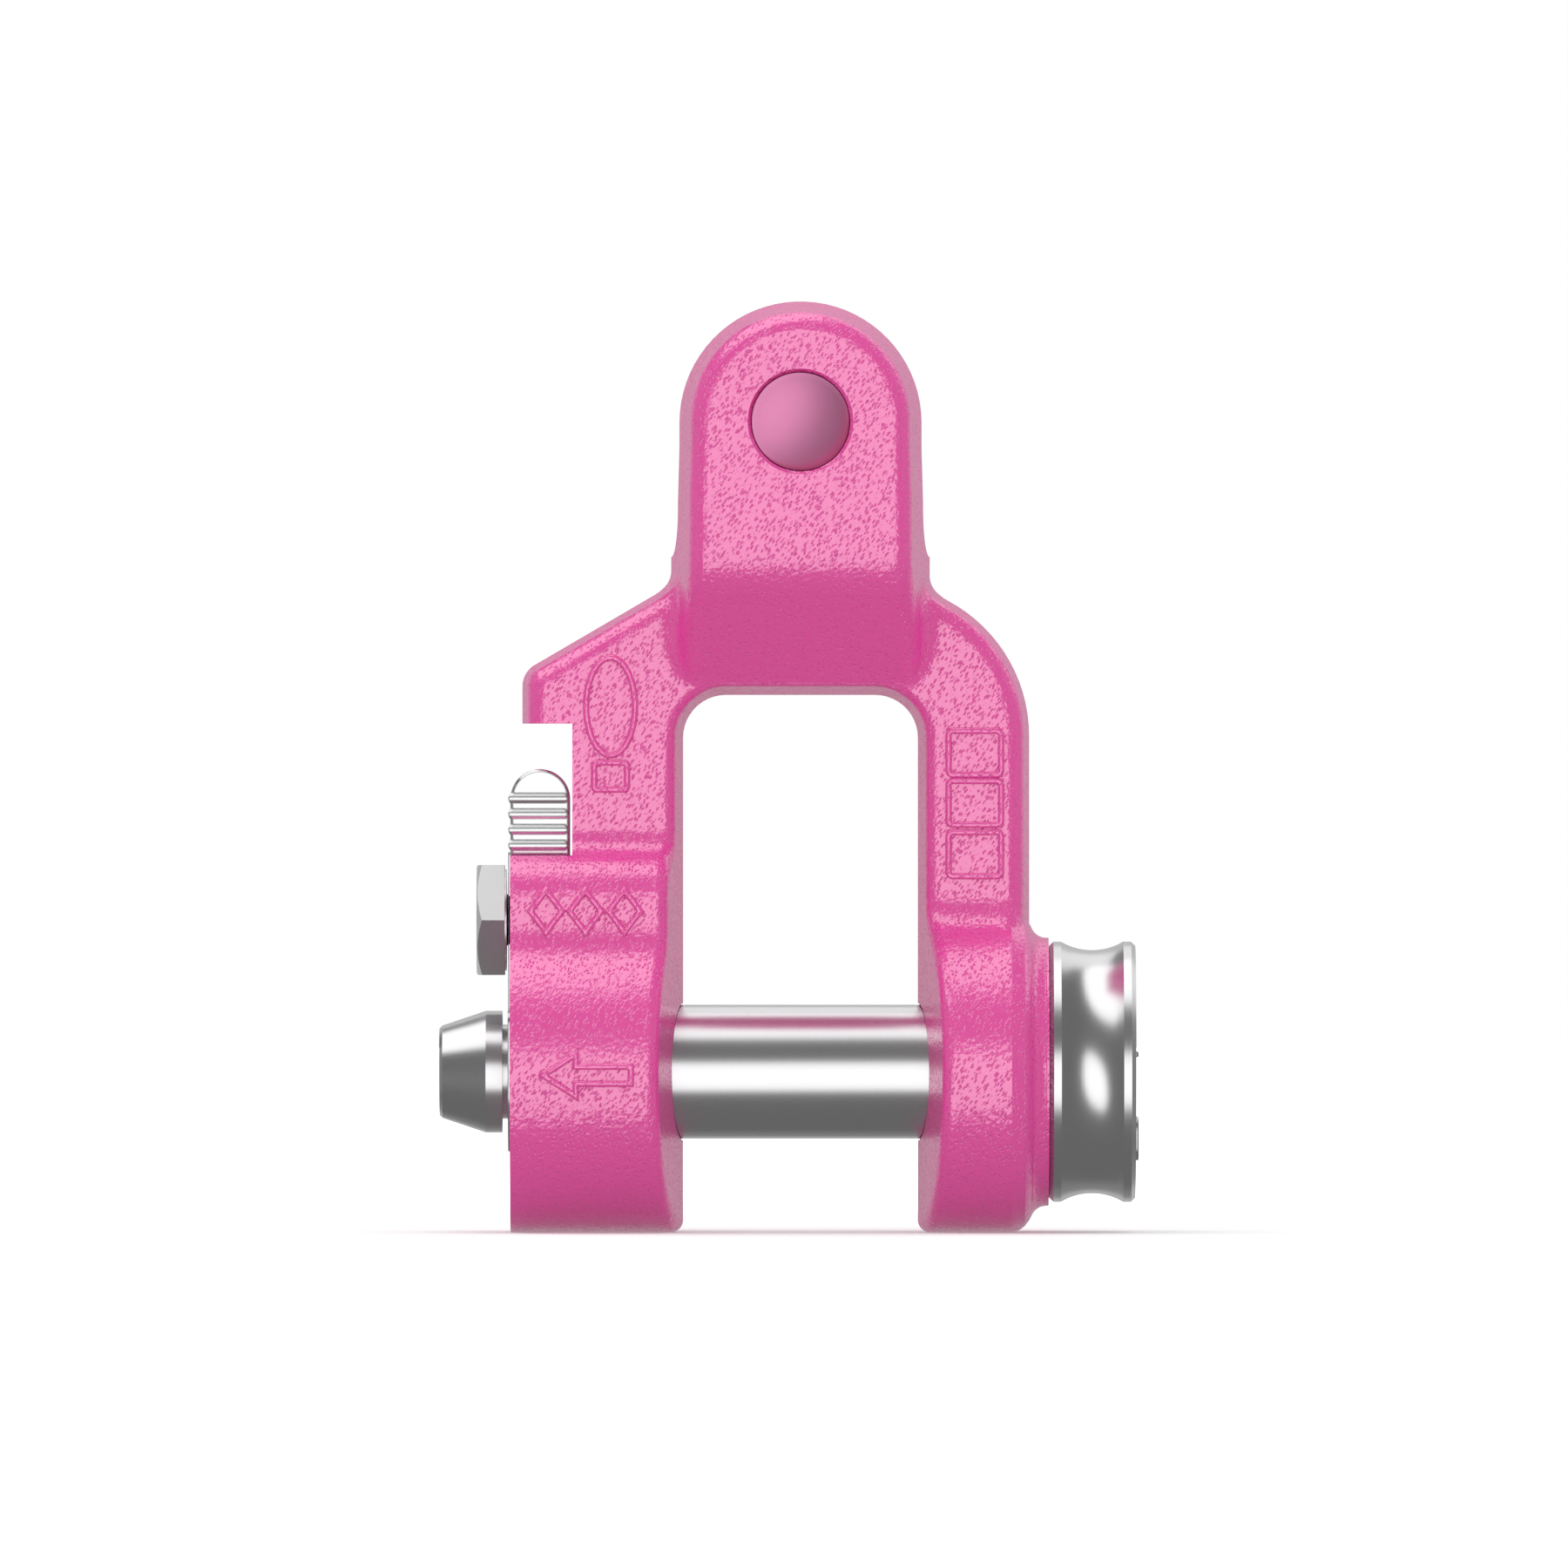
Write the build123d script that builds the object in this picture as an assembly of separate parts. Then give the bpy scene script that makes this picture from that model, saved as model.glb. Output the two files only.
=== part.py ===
from build123d import *
import os
from math import atan2, cos, degrees, radians, sin, sqrt, tan

# A clevis shackle for 13 mm lifting chain: a forged bow, a chain pin in its head, and a load
# bolt through its eyes that a spring-loaded slide locks.
# X runs from the slide to the knob of the bolt, Y from the front ear to the rear ear, Z up.
# The origin is on the axis of the chain pin, midway between the ears. All sizes are millimetres.

# Clevis head
CHAIN_PIN_D = 16.0
CHAIN_PIN_FIT = 0.15
CHAIN_SLOT = 16.0
SLOT_FLOOR_DROP = 22.0
HEAD_R = 20.95
HEAD_SPREAD = 0.25
HEAD_ROOT = HEAD_R + HEAD_SPREAD
HEAD_DEPTH = 24.0
FLARE_TOP = 4.0
FLARE_LOW = 13.0
KNEE_DROP = 24.6
KNEE_R = 13.5
PIN_HOLE_CHAMFER = 0.5
PIN_INSET = 0.9
PIN_CROWN = 1.0
PIN_CROWN_FLAT_D = 4.0
PIN_CROWN_BREAK_D = 10.4
PIN_CROWN_BREAK = 0.6
PIN_EDGE = 0.6

# Sleeve that keeps the chain pin in the rear ear
SLEEVE_D = 4.0
SLEEVE_WALL = 0.8
SLEEVE_SPLIT = 0.8
SLEEVE_LENGTH = 22.0
SLEEVE_BITE = 1.5
SLEEVE_INSET = 0.8
SLEEVE_FIT = 0.01
GROOVE_FIT = 0.12

# Shoulders, arms and eyes of the bow
BOLT_DROP = 106.4
JAW = 38.5
LEG_WIDTH = 18.25
ARM_DEPTH = 9.2
WINDOW_DROP = 44.6
WINDOW_CORNER = 7.0
SHOULDER_BLEND = 7.5
NECK_INSET = 1.0
LEFT_SHOULDER_DROP = 26.6
LEFT_SHOULDER_SLOPE = 30.3
RIGHT_SHOULDER_R = 25.1
RIGHT_SHOULDER_DROP = 51.3
NOSE_X = 45.6
NOSE_R = 4.0
EYE_R = 26.3
RIGHT_EYE_BLEND = 7.0
LEFT_EYE_BLEND = 10.0
BLOCK_DEPTH = 16.8
BLOCK_TOP_DROP = 66.5
BLOCK_BLEND = 4.7
BLOCK_SHOULDER_R = 8.0
BOSS_D = 44.0
BOSS_HEIGHT = 3.17
BOSS_BLEND = 2.2
EYE_SIDE_PROUD = 0.03
OUTER_DRAFT = 8.0
INNER_DRAFT = 9.1
EDGE_R = 3.0
WINDOW_EDGE_R = 2.0
JUNCTION_R = 3.8
SHARP_ANGLE = 20.0
FLAT_WALL = 0.9999
STEEP_WALL = 0.3
PROBE = 0.02

# Machined seat of the slide on the left leg
FACE_X = 47.5
NOTCH_TOP_DROP = 49.3
SHELF_DROP = 70.9
NOTCH_WALL_X = 37.36

# Load bolt
BOLT_D = 22.0
BOLT_FIT = 0.25
NECK_D = 15.5
NOSE_D = 20.0
NOSE_TIP_D = 15.2
NOSE_TIP_CHAMFER = 0.5
NOSE_CONE = 7.63
NOSE_LAND = 2.71
NECK_PLAY = 0.96
KNOB_D = 42.7
KNOB_LENGTH = 14.15
KNOB_CHAMFER = 0.7
KNOB_INNER_RIM = 1.95
KNOB_OUTER_RIM = 2.0
KNOB_HOLLOW = 1.4
KNOB_PLAY = 0.08

# Locking slide
PLATE_THICKNESS = 3.5
PLATE_PROUD = 0.4
SLIDE_FIT = 0.15
SLIDE_TRAVEL = 7.4
CLAW_R = 15.6
CLAW_SHOULDER = 10.1
CLAW_CORNER_R = 2.0
NECK_FIT = 0.2
NOSE_FIT = 0.3
STRIP_WIDTH = 11.4
BLOCK_GAP = 0.44
THUMB_HEIGHT = 14.1
THUMB_DEPTH = 9.0
THUMB_EDGE = 0.35
RIB_COUNT = 4
RIB_PITCH = 2.56
RIB_BASE = 1.73
RIB_CREST = 0.47
RIB_HEIGHT = 0.35
LOWEST_RIB = 1.64
SHELF_PLAY = 0.02

# Guide bush and screw
GUIDE_DROP = 81.5
BUSH_D = 14.1
BUSH_FIT = 0.05
BUSH_FLOOR = 1.6
BUSH_BACK = 0.07
CORE_D = 8.4
CORE_FIT = 0.1
CORE_PROUD = 0.26
SCREW_D = 6.0
SCREW_FIT = 0.02
SCREW_DEPTH = 8.0
SCREW_HEAD_AF = 18.0
SCREW_HEAD = 4.6
SCREW_HEAD_CHAMFER = 0.9
SCREW_HEAD_FACE_D = 17.4
WASHER_FACE_D = 16.6
WASHER_FACE = 0.3

# Return spring
SPRING_D = 3.0
SPRING_WIRE = 0.4
SPRING_TURNS = 4
SPRING_REST = 10.0
SPRING_POCKET = 3.4

# Places that several pieces share
BOLT_Z = -BOLT_DROP
GUIDE_Z = -GUIDE_DROP
HALF_JAW = JAW / 2
LEG_X = HALF_JAW + LEG_WIDTH
BOSS_X = LEG_X + BOSS_HEIGHT
BOTTOM_Z = BOLT_Z - EYE_R
PLATE_OUTER_X = FACE_X + PLATE_PROUD
PLATE_INNER_X = PLATE_OUTER_X - PLATE_THICKNESS
RECESS_X = PLATE_INNER_X - SLIDE_FIT
BUSH_FLOOR_X = RECESS_X - BUSH_FLOOR
CORE_END_X = PLATE_OUTER_X + CORE_PROUD
CLAW_TOP_Z = BOLT_Z + CLAW_SHOULDER
SLEEVE_Y = (CHAIN_SLOT / 2 + HEAD_DEPTH) / 2
SLEEVE_Z = -(CHAIN_PIN_D + SLEEVE_D) / 2 + SLEEVE_BITE
SPARE = 4.0

# Flat frames: seen from the front, and seen from the side with depth toward the viewer
FRONT = Plane.XZ
SIDE = Plane(origin=(0, 0, 0), x_dir=(0, -1, 0), z_dir=(-1, 0, 0))


def arc(centre, radius, start, end):
    """Arc about a centre from one angle to another, in degrees."""
    return CenterArc(centre, radius, start, end - start)


def profile(*edges):
    """Flat face inside a closed chain of edges."""
    return make_face(Wire(list(edges)))


def rounded(*corners):
    """Flat face through (x, y, radius) corners, each rounded by a tangent arc."""
    points = [Vector(x, y) for x, y, _ in corners]
    bends = []
    for i, (_, _, radius) in enumerate(corners):
        before = (points[i] - points[i - 1]).normalized()
        after = (points[(i + 1) % len(points)] - points[i]).normalized()
        turn = degrees(atan2(before.X * after.Y - before.Y * after.X, before.dot(after)))
        cut = radius * tan(radians(abs(turn)) / 2)
        start, end = points[i] - before * cut, points[i] + after * cut
        inward = Vector(-before.Y, before.X) * (1 if turn > 0 else -1)
        first = degrees(atan2(-inward.Y, -inward.X))
        bend = CenterArc(start + inward * radius, radius, first, turn) if radius else None
        bends.append((start, bend, end))
    edges = []
    for i, (start, bend, _) in enumerate(bends):
        last = bends[i - 1][2]
        if (start - last).length > 1e-6:
            edges.append(Line(last, start))
        if bend:
            edges.append(bend)
    return make_face(Wire(edges))


def turned(axis_z, points):
    """Solid of revolution about a line along X, from (x, radius) points."""
    outline = Polyline(*[(x, axis_z + radius) for x, radius in points], close=True)
    return revolve(FRONT * make_face(outline), Axis((0, 0, axis_z), (1, 0, 0)), 360)


def rod(x_start, x_end, diameter, y=0.0, z=0.0):
    """Round bar along X."""
    middle = (x_start + x_end) / 2
    return Pos(middle, y, z) * Rot(0, 90, 0) * Cylinder(diameter / 2, abs(x_end - x_start))


def block(x, y, z):
    """Box from three (low, high) ranges."""
    sizes = [high - low for low, high in (x, y, z)]
    return Pos(*[(low + high) / 2 for low, high in (x, y, z)]) * Box(*sizes)


def depth_prism(face, x_start, x_end):
    """Side profile carried along X between two places."""
    return Pos(x_end, 0, 0) * extrude(SIDE * face, amount=x_end - x_start)


def blend_centre(flat, blend_r):
    """Height of the arc that joins a flat face to the eye below it, and its turn in degrees."""
    reach = EYE_R + blend_r
    rise = sqrt(reach**2 - (flat + blend_r) ** 2)
    return BOLT_Z + rise, degrees(atan2(rise, flat + blend_r))


def right_outline():
    """Front outline of the right half: neck, round shoulder and leg."""
    low = BOTTOM_Z - SPARE
    over = -HALF_JAW / 2
    neck = HEAD_ROOT - NECK_INSET
    big = (LEG_X - RIGHT_SHOULDER_R, -RIGHT_SHOULDER_DROP)
    small_x = neck + SHOULDER_BLEND
    reach = RIGHT_SHOULDER_R + SHOULDER_BLEND
    small = (small_x, big[1] + sqrt(reach**2 - (small_x - big[0]) ** 2))
    turn = degrees(atan2(small[1] - big[1], small[0] - big[0]))
    return profile(
        Line((over, low), (over, -FLARE_LOW)),
        Line((over, -FLARE_LOW), (neck, -FLARE_LOW)),
        Line((neck, -FLARE_LOW), (neck, small[1])),
        arc(small, SHOULDER_BLEND, 180, 180 + turn),
        arc(big, RIGHT_SHOULDER_R, turn, 0),
        Line((LEG_X, big[1]), (LEG_X, low)),
        Line((LEG_X, low), (over, low)),
    )


def left_outline():
    """Front outline of the left half: neck, straight shoulder, nose and slide block."""
    low = BOTTOM_Z - SPARE
    over = HALF_JAW / 2
    wide = FACE_X + EYE_R * tan(radians(OUTER_DRAFT)) + SPARE
    neck = HEAD_ROOT - NECK_INSET
    neck_drop = LEFT_SHOULDER_DROP - NECK_INSET * tan(radians(LEFT_SHOULDER_SLOPE))
    nose_drop = neck_drop + (NOSE_X - neck) * tan(radians(LEFT_SHOULDER_SLOPE))
    step = (NOTCH_TOP_DROP + SHELF_DROP) / 2
    return rounded(
        (over, low, 0),
        (over, -FLARE_LOW, 0),
        (-neck, -FLARE_LOW, 0),
        (-neck, -neck_drop, SHOULDER_BLEND),
        (-NOSE_X, -nose_drop, NOSE_R),
        (-NOSE_X, -step, 0),
        (-wide, -step, 0),
        (-wide, low, 0),
    )


def right_depth():
    """Side profile of the right leg: flat arm, then a hollow into the round eye."""
    centre_z, turn = blend_centre(ARM_DEPTH, RIGHT_EYE_BLEND)
    return profile(
        Line((0, 0), (ARM_DEPTH, 0)),
        Line((ARM_DEPTH, 0), (ARM_DEPTH, centre_z)),
        arc((ARM_DEPTH + RIGHT_EYE_BLEND, centre_z), RIGHT_EYE_BLEND, 180, 180 + turn),
        arc((0, BOLT_Z), EYE_R, turn, -90),
        Line((0, BOTTOM_Z), (0, 0)),
    )


def left_depth():
    """Side profile of the left leg: flat arm, step out to the slide block, then the eye."""
    step = BLOCK_BLEND + BLOCK_SHOULDER_R
    tilt_cos = 1 - (BLOCK_DEPTH - ARM_DEPTH) / step
    tilt_sin = sqrt(1 - tilt_cos**2)
    tilt = degrees(atan2(tilt_sin, tilt_cos))
    shoulder_z = -BLOCK_TOP_DROP - step * tilt_sin
    centre_z, turn = blend_centre(BLOCK_DEPTH, LEFT_EYE_BLEND)
    return profile(
        Line((0, 0), (ARM_DEPTH, 0)),
        Line((ARM_DEPTH, 0), (ARM_DEPTH, -BLOCK_TOP_DROP)),
        arc((ARM_DEPTH + BLOCK_BLEND, -BLOCK_TOP_DROP), BLOCK_BLEND, 180, 180 + tilt),
        arc((BLOCK_DEPTH - BLOCK_SHOULDER_R, shoulder_z), BLOCK_SHOULDER_R, tilt, 0),
        Line((BLOCK_DEPTH, shoulder_z), (BLOCK_DEPTH, centre_z)),
        arc((BLOCK_DEPTH + LEFT_EYE_BLEND, centre_z), LEFT_EYE_BLEND, 180, 180 + turn),
        arc((0, BOLT_Z), EYE_R, turn, -90),
        Line((0, BOTTOM_Z), (0, 0)),
    )


def head_outline():
    """Front outline of the clevis head: round top and sides that widen toward the root."""
    return profile(
        arc((0, 0), HEAD_R, 0, 180),
        Line((-HEAD_R, 0), (-HEAD_R, -FLARE_TOP)),
        Line((-HEAD_R, -FLARE_TOP), (-HEAD_ROOT, -FLARE_LOW)),
        Line((-HEAD_ROOT, -FLARE_LOW), (-HEAD_ROOT, -WINDOW_DROP)),
        Line((-HEAD_ROOT, -WINDOW_DROP), (HEAD_ROOT, -WINDOW_DROP)),
        Line((HEAD_ROOT, -WINDOW_DROP), (HEAD_ROOT, -FLARE_LOW)),
        Line((HEAD_ROOT, -FLARE_LOW), (HEAD_R, -FLARE_TOP)),
        Line((HEAD_R, -FLARE_TOP), (HEAD_R, 0)),
    )


def head_depth():
    """Side profile of the head: flat ear, round knee and a slope in to the window's top edge."""
    sill = WINDOW_DROP - ARM_DEPTH * tan(radians(INNER_DRAFT))
    slope = (HEAD_DEPTH - ARM_DEPTH) / (sill - KNEE_DROP)
    below = WINDOW_DROP + SPARE
    return rounded(
        (0, HEAD_R + SPARE, 0),
        (HEAD_DEPTH, HEAD_R + SPARE, 0),
        (HEAD_DEPTH, -KNEE_DROP, KNEE_R),
        (ARM_DEPTH - slope * (below - sill), -below, 0),
        (0, -below, 0),
    )


def window_die():
    """Drafted half core of the window and the jaw below it."""
    low = BOTTOM_Z - SPARE
    outline = rounded(
        (-HALF_JAW, low, 0),
        (-HALF_JAW, -WINDOW_DROP, WINDOW_CORNER),
        (HALF_JAW, -WINDOW_DROP, WINDOW_CORNER),
        (HALF_JAW, low, 0),
    )
    return extrude(FRONT * outline, amount=EYE_R + SPARE, taper=-INNER_DRAFT)


def sharp_edges(solid, convex, test):
    """Edges that a die leaves between a wall and a face toward the viewer, by their bounding box."""
    sides = {}
    for face in solid.faces():
        for edge in face.edges():
            sides.setdefault(edge, []).append(face)
    found = []
    for edge, faces in sides.items():
        box = edge.bounding_box()
        if len(faces) != 2 or box.min.Y > -PROBE or not test(box):
            continue
        middle = edge.position_at(0.5)
        one, other = [face.normal_at(middle) for face in faces]
        machined = any(max(abs(n.X), abs(n.Z)) > FLAT_WALL for n in (one, other))
        corner = convex and max(abs(one.Y), abs(other.Y)) < STEEP_WALL
        if machined or corner or one.get_angle(other) < SHARP_ANGLE:
            continue
        inside = solid.is_inside(middle + (one - other) * PROBE)
        if inside != convex:
            found.append(edge)
    return found


def forged_half():
    """Front half of the forging, as the die leaves it, with its edges rounded."""
    depth = EYE_R + SPARE / 2
    reach = 2 * FACE_X
    right = extrude(FRONT * right_outline(), amount=depth, taper=OUTER_DRAFT)
    right &= depth_prism(right_depth(), 0, reach)
    left = extrude(FRONT * left_outline(), amount=depth, taper=OUTER_DRAFT)
    left &= depth_prism(left_depth(), -reach, 0)
    notch = block((-reach, -NOTCH_WALL_X), (-depth, depth), (-SHELF_DROP, -NOTCH_TOP_DROP))
    milled = block((-reach, -FACE_X), (-depth, depth), (BOTTOM_Z - SPARE, -SHELF_DROP))
    arms = (right + left - notch - milled).solid()
    inner = HEAD_ROOT - SPARE
    rim = sharp_edges(arms, True, lambda box: box.min.X > inner or box.max.X < -inner)
    arms = arms.fillet(EDGE_R, rim)

    head = extrude(FRONT * head_outline(), amount=HEAD_DEPTH + SPARE, taper=OUTER_DRAFT)
    head = (head & depth_prism(head_depth(), -reach, reach)).solid()
    head = head.fillet(EDGE_R, sharp_edges(head, True, lambda box: box.size.Z > EDGE_R))
    body = (arms + head).solid()
    root = sharp_edges(body, False, lambda box: box.min.Z > -WINDOW_DROP - SPARE)
    body = body.fillet(JUNCTION_R, root)

    body = (body - window_die()).solid()
    inner = HALF_JAW + EYE_R * tan(radians(INNER_DRAFT)) + 1
    sill = -WINDOW_DROP + ARM_DEPTH * tan(radians(INNER_DRAFT)) + 1
    rim = sharp_edges(body, True, lambda box: max(-box.min.X, box.max.X) < inner and box.min.Z < sill)
    body = body.fillet(WINDOW_EDGE_R, rim)

    front = block((0, reach), (-depth, 0), (2 * BOLT_Z, 0))
    return (body + (right_boss() & front)).solid()


def right_boss():
    """Round side of the right eye with the boss that the knob rests on and its hollow root."""
    side = LEG_X + EYE_SIDE_PROUD
    root = BOSS_D / 2 + BOSS_BLEND
    start = HALF_JAW + EYE_R * tan(radians(INNER_DRAFT)) + EDGE_R
    middle = 1 - sqrt(0.5)
    return turned(BOLT_Z, [
        (start, 0),
        (start, EYE_R),
        (side - EDGE_R, EYE_R),
        (side - middle * EDGE_R, EYE_R - middle * EDGE_R),
        (side, EYE_R - EDGE_R),
        (side, root),
        (side + middle * BOSS_BLEND, root - (1 - middle) * BOSS_BLEND),
        (side + BOSS_BLEND, BOSS_D / 2),
        (BOSS_X, BOSS_D / 2),
        (BOSS_X, 0),
    ])


def slide_recess():
    """Milled recess of the left leg: room for the claw, channel for the strip, seat of the bush."""
    outer = FACE_X + SPARE
    half_claw = CLAW_R + SLIDE_FIT
    half_strip = STRIP_WIDTH / 2 + SLIDE_FIT
    roof = CLAW_TOP_Z + SLIDE_TRAVEL + SLIDE_FIT
    recess = rod(-outer, -RECESS_X, 2 * half_claw, z=BOLT_Z)
    recess += block((-outer, -RECESS_X), (-half_claw, half_claw), (BOLT_Z, roof))
    recess += block((-outer, -RECESS_X), (-half_strip, half_strip), (roof - SPARE, -SHELF_DROP + SPARE))
    recess += rod(-outer, -BUSH_FLOOR_X, BUSH_D + 2 * BUSH_FIT, z=GUIDE_Z)
    return recess + rod(-outer, -BUSH_FLOOR_X + SCREW_DEPTH, SCREW_D + 2 * SCREW_FIT, z=GUIDE_Z)


def chain_slot():
    """Slot between the ears, open at the top and round at its floor."""
    half = CHAIN_SLOT / 2
    floor = -SLOT_FLOOR_DROP + half
    wide = 2 * HEAD_ROOT
    slot = block((-wide, wide), (-half, half), (floor, 2 * HEAD_R))
    return slot + rod(-wide, wide, CHAIN_SLOT, z=floor)


def pin_bore():
    """Bore for the chain pin through both ears, with a chamfer at each outer mouth."""
    radius = CHAIN_PIN_D / 2 + CHAIN_PIN_FIT
    length = 2 * HEAD_DEPTH
    bore = Rot(90, 0, 0) * Cylinder(radius, 2 * length)
    for side in (-1, 1):
        cone = Cone(radius, radius + 2 * PIN_HOLE_CHAMFER, 2 * PIN_HOLE_CHAMFER)
        bore += Pos(0, side * HEAD_DEPTH, 0) * Rot(-90 * side, 0, 0) * cone
    return bore


def sleeve_bore():
    """Blind cross hole of the rear ear, tangent to the groove of the chain pin."""
    return rod(sleeve_end_x() - SLEEVE_LENGTH, 2 * HEAD_ROOT, SLEEVE_D, y=SLEEVE_Y, z=SLEEVE_Z)


def sleeve_end_x():
    """Place of the sleeve's outer end, just below the side of the rear ear."""
    return HEAD_R - SLEEVE_Y * tan(radians(OUTER_DRAFT)) - SLEEVE_INSET


def bow():
    """Forged body: two mirrored halves of the forging, then the machining."""
    half = forged_half()
    body = half + mirror(half, about=Plane.XZ)
    body -= chain_slot()
    body -= pin_bore()
    body -= sleeve_bore()
    body -= rod(-2 * FACE_X, 2 * FACE_X, BOLT_D + 2 * BOLT_FIT, z=BOLT_Z)
    body -= slide_recess()
    return body


def chain_pin():
    """Round pin with crowned ends and an annular groove for the sleeve."""
    radius = CHAIN_PIN_D / 2
    edge = HEAD_DEPTH - PIN_INSET
    crown = [
        (radius, edge - PIN_EDGE),
        (radius - PIN_EDGE, edge),
        (PIN_CROWN_BREAK_D / 2, edge + PIN_CROWN_BREAK),
        (PIN_CROWN_FLAT_D / 2, edge + PIN_CROWN),
        (0, edge + PIN_CROWN),
    ]
    rear = [(x, -y) for x, y in reversed(crown)]
    pin = revolve(make_face(Polyline(*crown, *rear, close=True)), Axis.Y, 360)
    groove_r = -SLEEVE_Z - SLEEVE_D / 2 - GROOVE_FIT
    width = SLEEVE_D + 2 * GROOVE_FIT
    ring = Cylinder(CHAIN_PIN_D, width) - Cylinder(groove_r, width)
    return pin - Pos(0, SLEEVE_Y, 0) * Rot(90, 0, 0) * ring


def pin_sleeve():
    """Slotted spring sleeve across the rear ear."""
    outer = SLEEVE_D - 2 * SLEEVE_FIT
    start = sleeve_end_x() - SLEEVE_LENGTH
    end = sleeve_end_x()
    sleeve = rod(start, end, outer, y=SLEEVE_Y, z=SLEEVE_Z)
    sleeve -= rod(start - 1, end + 1, outer - 2 * SLEEVE_WALL, y=SLEEVE_Y, z=SLEEVE_Z)
    half = SLEEVE_SPLIT / 2
    split = block((start - 1, end + 1), (-half, half), (-SLEEVE_D, 0))
    return sleeve - Pos(0, SLEEVE_Y, SLEEVE_Z) * split


def shackle_bolt():
    """Load bolt, turned from one bar: pointed nose, neck, shaft and knob with a hollow rim."""
    nose_inner = -PLATE_OUTER_X - NECK_PLAY
    cone_end = nose_inner - NOSE_LAND
    tip = cone_end - NOSE_CONE
    knob_start = BOSS_X + KNOB_PLAY
    knob_end = knob_start + KNOB_LENGTH
    rim = KNOB_D / 2
    bolt = turned(BOLT_Z, [
        (tip, 0),
        (tip, NOSE_TIP_D / 2 - NOSE_TIP_CHAMFER),
        (tip + NOSE_TIP_CHAMFER, NOSE_TIP_D / 2),
        (cone_end, NOSE_D / 2),
        (nose_inner, NOSE_D / 2),
        (nose_inner, NECK_D / 2),
        (-RECESS_X, NECK_D / 2),
        (-RECESS_X, BOLT_D / 2),
        (knob_start, BOLT_D / 2),
        (knob_start, rim - KNOB_CHAMFER),
        (knob_start + KNOB_CHAMFER, rim),
        (knob_end - KNOB_CHAMFER, rim),
        (knob_end, rim - KNOB_CHAMFER),
        (knob_end, 0),
    ]).solid()
    hollow_start = knob_start + KNOB_INNER_RIM
    hollow_end = knob_end - KNOB_OUTER_RIM
    crown = BOLT_Z + rim
    hollow = profile(
        Line((hollow_start, crown), (hollow_start, crown + 1)),
        Line((hollow_start, crown + 1), (hollow_end, crown + 1)),
        Line((hollow_end, crown + 1), (hollow_end, crown)),
        ThreePointArc(
            (hollow_end, crown),
            ((hollow_start + hollow_end) / 2, crown - KNOB_HOLLOW),
            (hollow_start, crown),
        ),
    )
    return bolt - revolve(FRONT * hollow, Axis((0, 0, BOLT_Z), (1, 0, 0)), 360)


def thumb_rib(height):
    """One raised rib round the front, outer and rear sides of the thumb block."""
    x_low, x_high = -FACE_X - RIB_HEIGHT, -NOTCH_WALL_X - BLOCK_GAP - RIB_HEIGHT
    half_y = THUMB_DEPTH + RIB_HEIGHT
    flank = (RIB_BASE - RIB_CREST) / 2
    taper = degrees(atan2(RIB_HEIGHT, flank))
    outline = Pos((x_low + x_high) / 2, 0, 0) * Rectangle(x_high - x_low, 2 * half_y)
    rib = extrude(outline, amount=RIB_CREST / 2, both=True)
    for way in (1, -1):
        side = Pos(0, 0, RIB_CREST / 2) * extrude(outline, amount=flank, taper=taper)
        rib += side if way > 0 else mirror(side, about=Plane.XY)
    return Pos(0, 0, height) * rib


def lock_slide():
    """One steel piece: ribbed thumb block, strip with a long slot, and the claw."""
    right = -NOTCH_WALL_X - BLOCK_GAP
    floor = -SHELF_DROP + SHELF_PLAY
    radius = (FACE_X + right) / 2
    outline = profile(
        Line((-FACE_X, floor), (right, floor)),
        Line((right, floor), (right, floor + THUMB_HEIGHT - radius)),
        arc((right - radius, floor + THUMB_HEIGHT - radius), radius, 0, 180),
        Line((-FACE_X, floor + THUMB_HEIGHT - radius), (-FACE_X, floor)),
    )
    thumb = extrude(FRONT * outline, amount=THUMB_DEPTH, both=True).solid()
    ends = thumb.edges().filter_by(lambda e: abs(abs(e.center().Y) - THUMB_DEPTH) < 0.01)
    thumb = thumb.chamfer(THUMB_EDGE, None, ends)
    for i in range(RIB_COUNT):
        thumb += thumb_rib(floor + LOWEST_RIB + i * RIB_PITCH)

    x_range = (-PLATE_OUTER_X, -PLATE_INNER_X)
    half_strip = STRIP_WIDTH / 2
    claw = rounded(
        (-CLAW_R, BOLT_Z - CLAW_R, CLAW_R),
        (-CLAW_R, CLAW_TOP_Z, CLAW_CORNER_R),
        (CLAW_R, CLAW_TOP_Z, CLAW_CORNER_R),
        (CLAW_R, BOLT_Z - CLAW_R, CLAW_R),
    )
    plate = depth_prism(claw, *x_range)
    plate += block(x_range, (-half_strip, half_strip), (BOLT_Z, floor + SHELF_PLAY + RIB_CREST))
    plate -= claw_mouth()
    plate -= strip_slot()
    return thumb + plate


def claw_mouth():
    """Keyhole of the claw: a narrow round for the neck, and below it room for the nose."""
    wide = (-PLATE_OUTER_X - SPARE, -PLATE_INNER_X + SPARE)
    narrow = rod(*wide, NECK_D + 2 * NECK_FIT, z=BOLT_Z)
    return narrow + rod(*wide, NOSE_D + 2 * NOSE_FIT, z=BOLT_Z - SLIDE_TRAVEL)


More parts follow.
